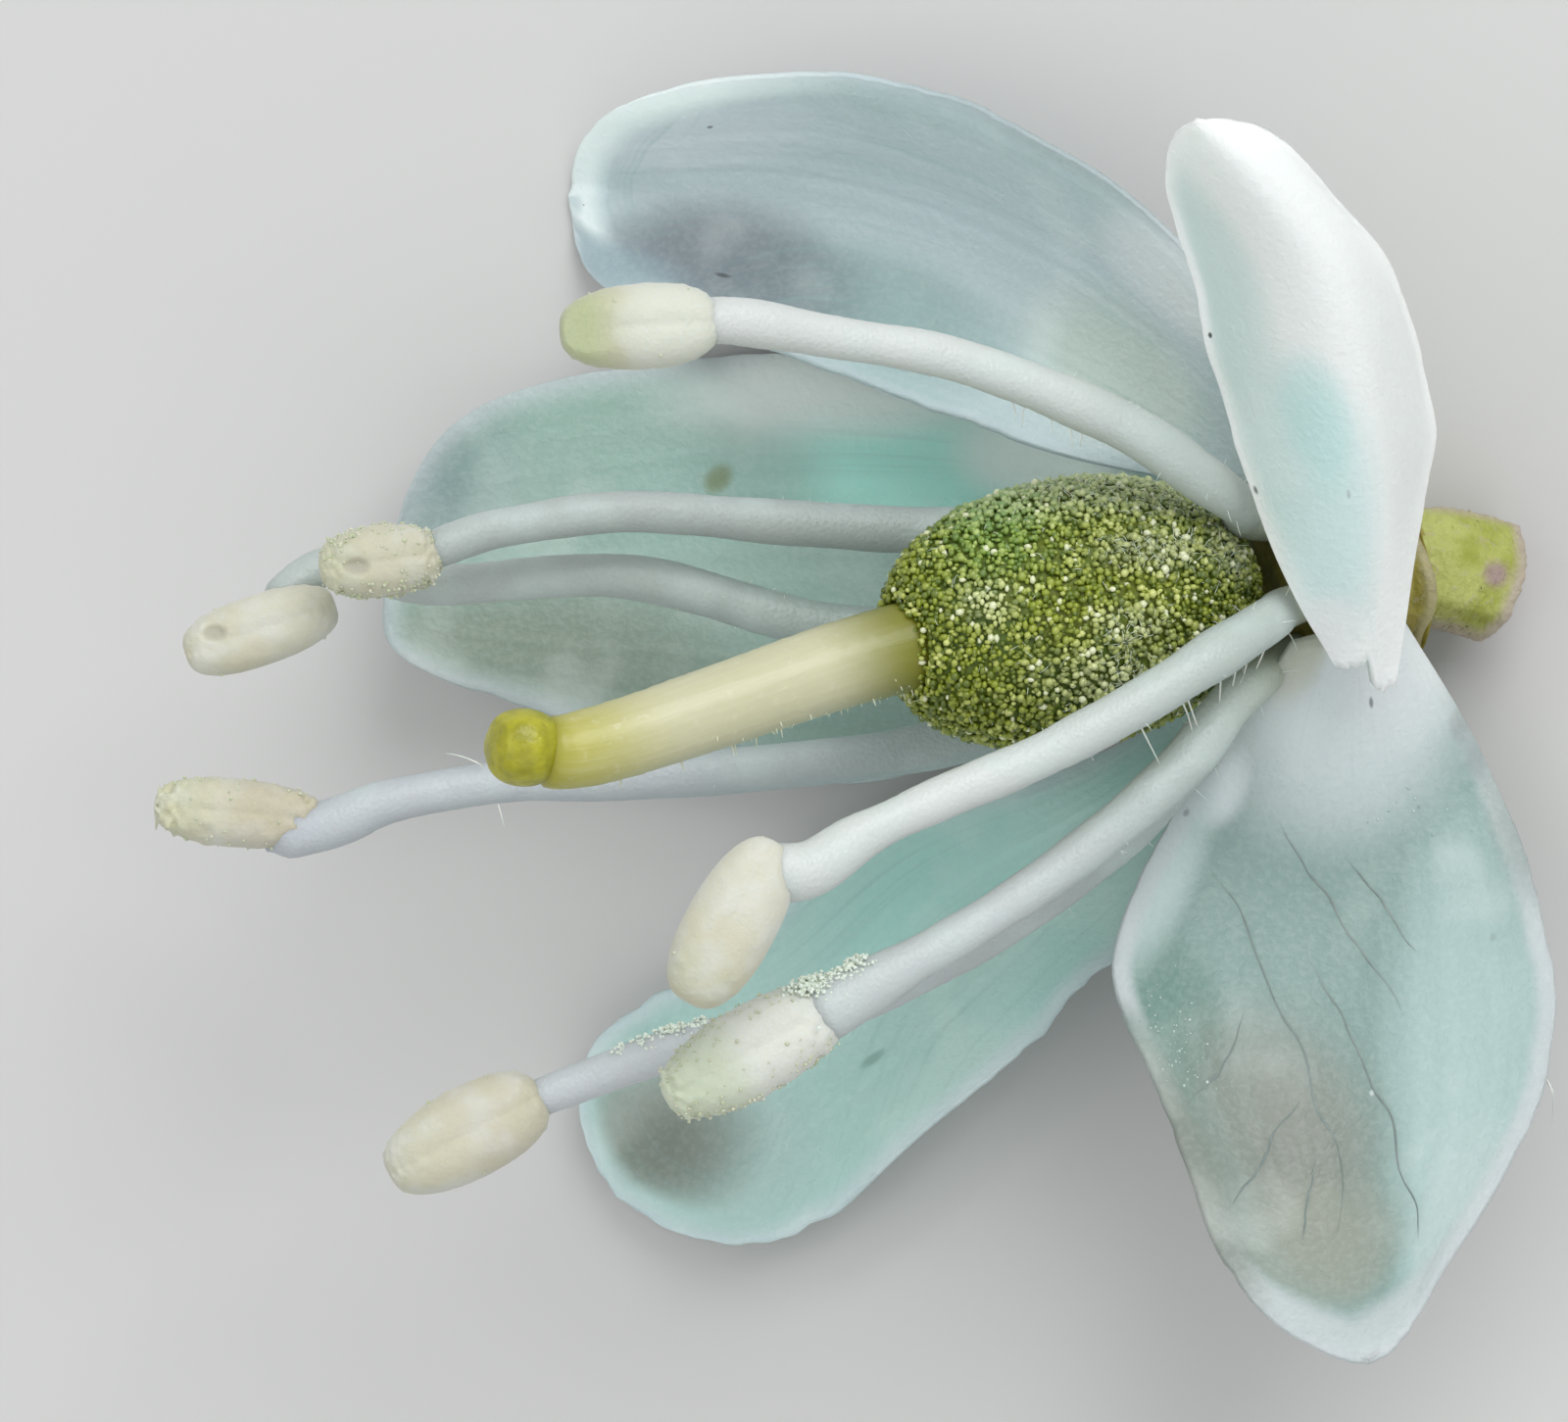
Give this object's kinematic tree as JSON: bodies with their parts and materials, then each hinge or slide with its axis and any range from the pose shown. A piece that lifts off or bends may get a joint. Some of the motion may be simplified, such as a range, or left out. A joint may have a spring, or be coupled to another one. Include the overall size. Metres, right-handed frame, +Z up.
{
  "type": "labrador tea flower",
  "caption": "Single cut flower lying on a surface: waved petals, long stamens, a gland-covered green ovary with a curved style, and a stub of stalk.",
  "frame": {"origin": "middle of the flower's outline, on the surface that it lies on", "axes": "+Z is up from the surface; the stalk's cut end points along +X and the stamens along -X; +Y points towards the tips of the two upper petals"},
  "size_m": [0.012, 0.0112, 0.0065],
  "materials": {
    "petal": "satin, thin and slightly translucent",
    "filament": "finely papillose, matt",
    "anther": "powdery, matt",
    "ovary": "densely glandular with a wet glint",
    "style": "satin",
    "stigma": "moist, slightly glossy",
    "calyx": "matt",
    "pedicel": "matt with a paler rim"
  },
  "bodies": {
    "root": {"petal_upper": "petal", "petal_near": "petal", "petal_far": "petal", "petal_lower_left": "petal", "petal_lower_right": "petal", "filament_1": "filament", "filament_2": "filament", "filament_3": "filament", "filament_4": "filament", "filament_5": "filament", "filament_6": "filament", "filament_7": "filament", "anther_1": "anther", "anther_2": "anther", "anther_3": "anther", "anther_4": "anther", "anther_5": "anther", "anther_6": "anther", "anther_7": "anther", "ovary": "ovary", "style": "style", "stigma": "stigma", "calyx": "calyx", "pedicel": "pedicel"}
  },
  "joints": []
}
